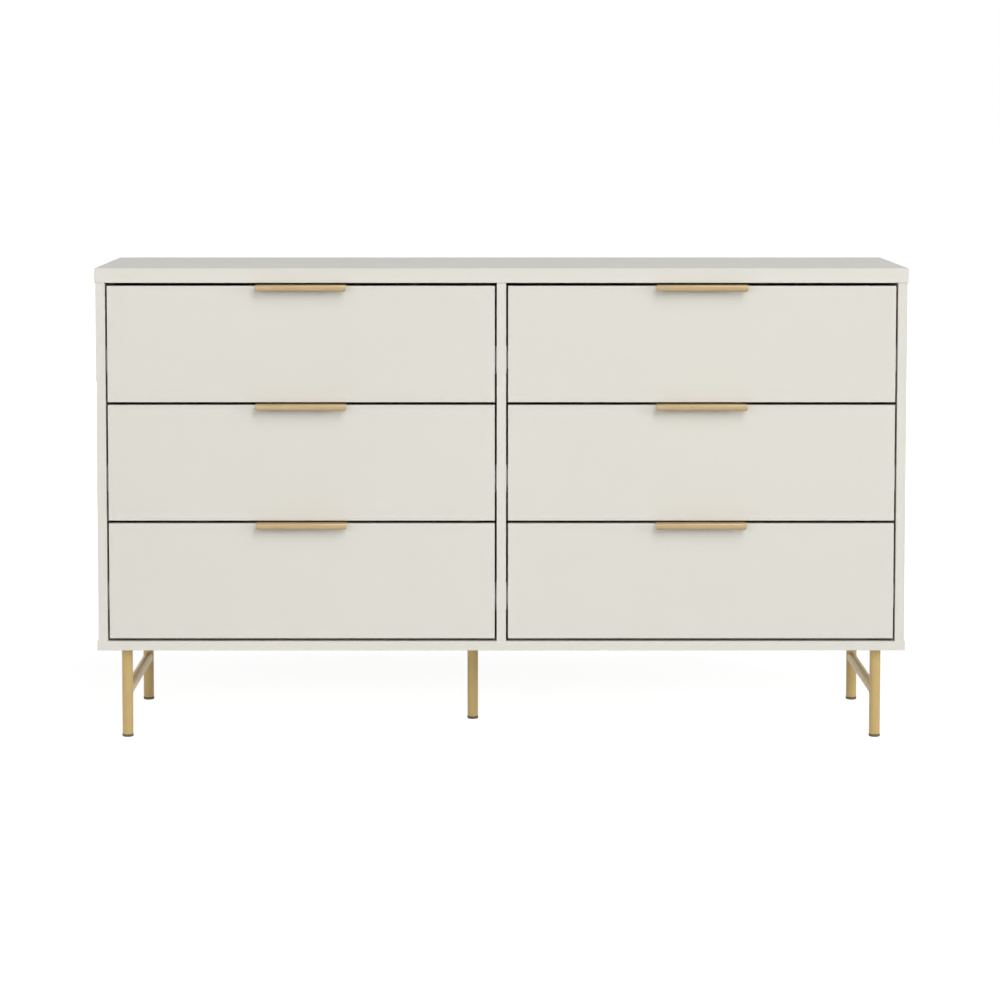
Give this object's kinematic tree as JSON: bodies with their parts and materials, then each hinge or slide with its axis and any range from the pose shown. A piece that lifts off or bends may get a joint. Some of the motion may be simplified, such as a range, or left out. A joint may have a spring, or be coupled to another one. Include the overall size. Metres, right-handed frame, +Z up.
{
  "type": "dresser with drawers",
  "caption": "Wide low dresser with two columns of inset drawers on telescopic runners, lip pulls on the top edges, and round tube legs with crossbars.",
  "frame": {"origin": "on the floor, at the middle of the dresser's box in width and depth", "axes": "+X to the right seen from the front, the front faces -Y, +Z up"},
  "size_m": [1.4, 0.4166, 0.818],
  "materials": {
    "cream_board": "satin cream lacquer on fibreboard",
    "drawer_board": "white melamine on particle board",
    "hardboard": "thin hardboard, painted on its inner face",
    "gold_metal": "satin champagne gold over steel",
    "zinc_steel": "bright zinc plated",
    "brown_plastic": "moulded, dark olive brown",
    "white_plastic": "extruded, white",
    "beech": "bare fluted beech"
  },
  "bodies": {
    "carcass": {"top_panel": "cream_board", "bottom_panel": "cream_board", "left_side_panel": "cream_board", "right_side_panel": "cream_board", "centre_divider": "cream_board", "left_back_panel": "hardboard", "right_back_panel": "hardboard", "back_joining_strip": "white_plastic", "cam_locks": "zinc_steel", "cam_bolts": "zinc_steel", "dowels": "beech", "left_leg_frame": "gold_metal", "right_leg_frame": "gold_metal", "centre_leg": "gold_metal", "foot_caps": "brown_plastic", "leg_screws": "zinc_steel", "cabinet_rails": "zinc_steel"},
    "middle_rails_1": {"drawer_1_middle_rails": "zinc_steel"},
    "drawer_1": {"drawer_1_front": "cream_board", "drawer_1_sides": "drawer_board", "drawer_1_back": "drawer_board", "drawer_1_bottom": "hardboard", "drawer_1_pull": "gold_metal", "drawer_1_inner_rails": "zinc_steel"},
    "middle_rails_2": {"drawer_2_middle_rails": "zinc_steel"},
    "drawer_2": {"drawer_2_front": "cream_board", "drawer_2_sides": "drawer_board", "drawer_2_back": "drawer_board", "drawer_2_bottom": "hardboard", "drawer_2_pull": "gold_metal", "drawer_2_inner_rails": "zinc_steel"},
    "middle_rails_3": {"drawer_3_middle_rails": "zinc_steel"},
    "drawer_3": {"drawer_3_front": "cream_board", "drawer_3_sides": "drawer_board", "drawer_3_back": "drawer_board", "drawer_3_bottom": "hardboard", "drawer_3_pull": "gold_metal", "drawer_3_inner_rails": "zinc_steel"},
    "middle_rails_4": {"drawer_4_middle_rails": "zinc_steel"},
    "drawer_4": {"drawer_4_front": "cream_board", "drawer_4_sides": "drawer_board", "drawer_4_back": "drawer_board", "drawer_4_bottom": "hardboard", "drawer_4_pull": "gold_metal", "drawer_4_inner_rails": "zinc_steel"},
    "middle_rails_5": {"drawer_5_middle_rails": "zinc_steel"},
    "drawer_5": {"drawer_5_front": "cream_board", "drawer_5_sides": "drawer_board", "drawer_5_back": "drawer_board", "drawer_5_bottom": "hardboard", "drawer_5_pull": "gold_metal", "drawer_5_inner_rails": "zinc_steel"},
    "middle_rails_6": {"drawer_6_middle_rails": "zinc_steel"},
    "drawer_6": {"drawer_6_front": "cream_board", "drawer_6_sides": "drawer_board", "drawer_6_back": "drawer_board", "drawer_6_bottom": "hardboard", "drawer_6_pull": "gold_metal", "drawer_6_inner_rails": "zinc_steel"}
  },
  "joints": [
    {"name": "drawer_1_slide", "type": "slide", "parent": "carcass", "child": "drawer_1", "axis": [0, -1, 0], "range_m": [0, 0.34]},
    {"name": "middle_rails_1_slide", "type": "slide", "parent": "carcass", "child": "middle_rails_1", "axis": [0, -1, 0], "range_m": [0, 0.17]},
    {"name": "drawer_2_slide", "type": "slide", "parent": "carcass", "child": "drawer_2", "axis": [0, -1, 0], "range_m": [0, 0.34]},
    {"name": "middle_rails_2_slide", "type": "slide", "parent": "carcass", "child": "middle_rails_2", "axis": [0, -1, 0], "range_m": [0, 0.17]},
    {"name": "drawer_3_slide", "type": "slide", "parent": "carcass", "child": "drawer_3", "axis": [0, -1, 0], "range_m": [0, 0.34]},
    {"name": "middle_rails_3_slide", "type": "slide", "parent": "carcass", "child": "middle_rails_3", "axis": [0, -1, 0], "range_m": [0, 0.17]},
    {"name": "drawer_4_slide", "type": "slide", "parent": "carcass", "child": "drawer_4", "axis": [0, -1, 0], "range_m": [0, 0.34]},
    {"name": "middle_rails_4_slide", "type": "slide", "parent": "carcass", "child": "middle_rails_4", "axis": [0, -1, 0], "range_m": [0, 0.17]},
    {"name": "drawer_5_slide", "type": "slide", "parent": "carcass", "child": "drawer_5", "axis": [0, -1, 0], "range_m": [0, 0.34]},
    {"name": "middle_rails_5_slide", "type": "slide", "parent": "carcass", "child": "middle_rails_5", "axis": [0, -1, 0], "range_m": [0, 0.17]},
    {"name": "drawer_6_slide", "type": "slide", "parent": "carcass", "child": "drawer_6", "axis": [0, -1, 0], "range_m": [0, 0.34]},
    {"name": "middle_rails_6_slide", "type": "slide", "parent": "carcass", "child": "middle_rails_6", "axis": [0, -1, 0], "range_m": [0, 0.17]}
  ],
  "couplings": [
    {"joint": "middle_rails_1_slide", "follows": "drawer_1_slide", "ratio": 0.5},
    {"joint": "middle_rails_2_slide", "follows": "drawer_2_slide", "ratio": 0.5},
    {"joint": "middle_rails_3_slide", "follows": "drawer_3_slide", "ratio": 0.5},
    {"joint": "middle_rails_4_slide", "follows": "drawer_4_slide", "ratio": 0.5},
    {"joint": "middle_rails_5_slide", "follows": "drawer_5_slide", "ratio": 0.5},
    {"joint": "middle_rails_6_slide", "follows": "drawer_6_slide", "ratio": 0.5}
  ]
}
